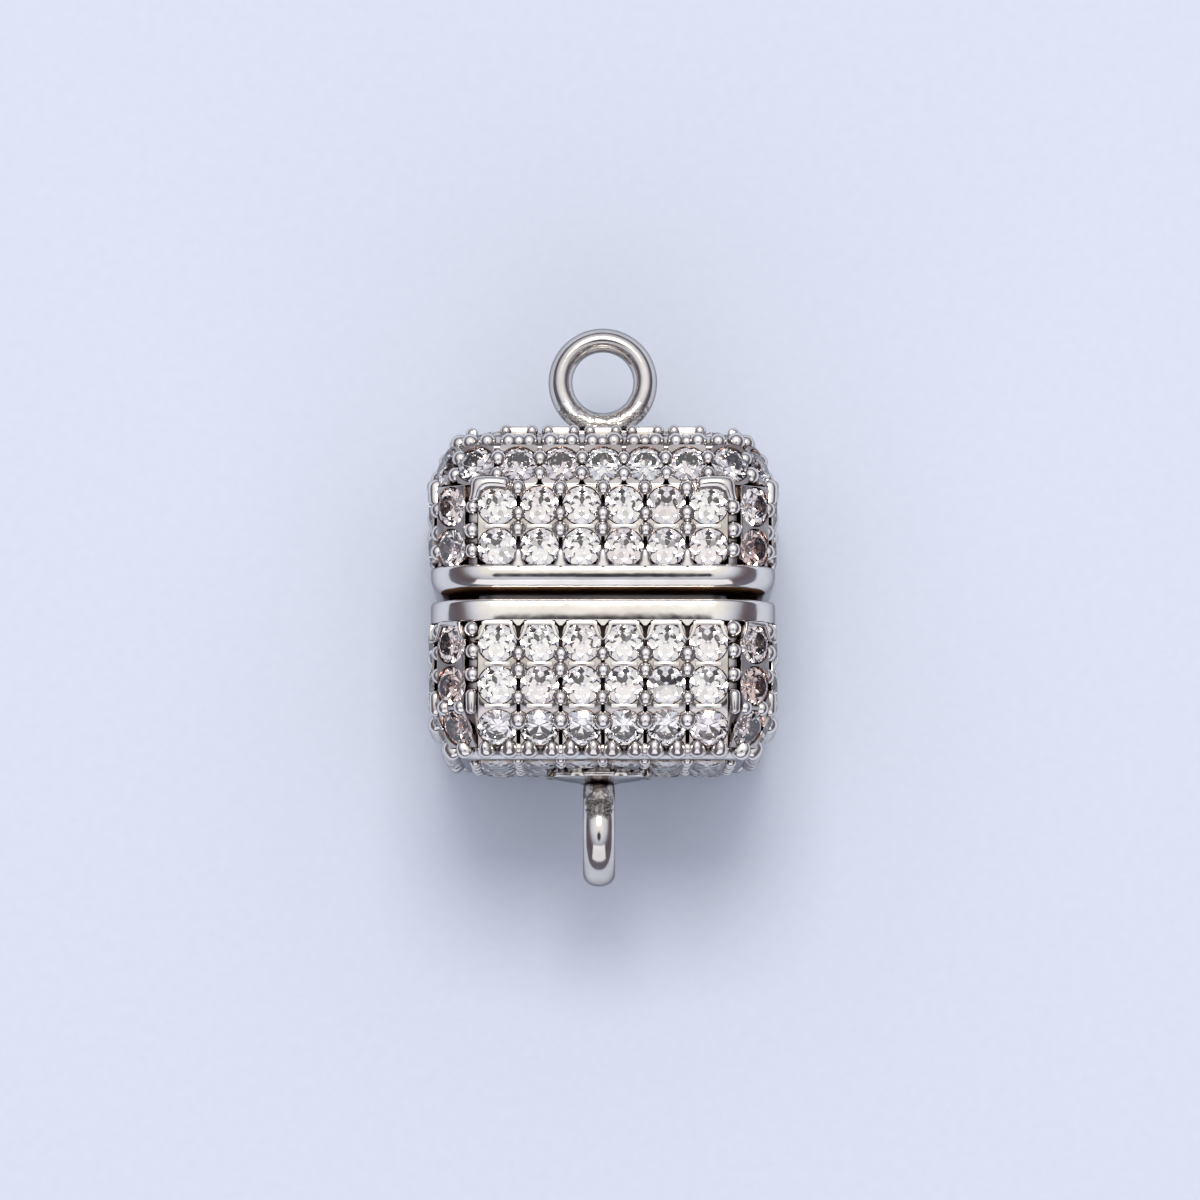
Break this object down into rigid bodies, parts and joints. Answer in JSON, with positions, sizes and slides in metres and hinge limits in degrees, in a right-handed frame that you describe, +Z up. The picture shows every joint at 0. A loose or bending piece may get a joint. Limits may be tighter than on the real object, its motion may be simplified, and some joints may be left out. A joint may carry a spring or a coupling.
{
  "type": "magnetic clasp",
  "caption": "Square magnetic jewellery clasp in two stone-set halves that pull apart along their length, each with a soldered loop at its end.",
  "frame": {"origin": "on the surface that the clasp lies on, under the middle of its seam", "axes": "+Y along the clasp from the lower half to the upper half, +Z up out of the surface, +X to the right"},
  "size_m": [0.011, 0.0176, 0.011],
  "materials": {
    "plated_metal": "polished",
    "stones": "faceted",
    "magnet": "nickel plated"
  },
  "bodies": {
    "lower_half": {"lower_shell": "plated_metal", "lower_stones": "stones", "lower_magnet": "magnet"},
    "upper_half": {"upper_shell": "plated_metal", "upper_stones": "stones", "upper_magnet": "magnet"}
  },
  "joints": [
    {"name": "pull_apart", "type": "slide", "parent": "lower_half", "child": "upper_half", "axis": [0, 1, 0], "range_m": [0, 0.012]}
  ]
}
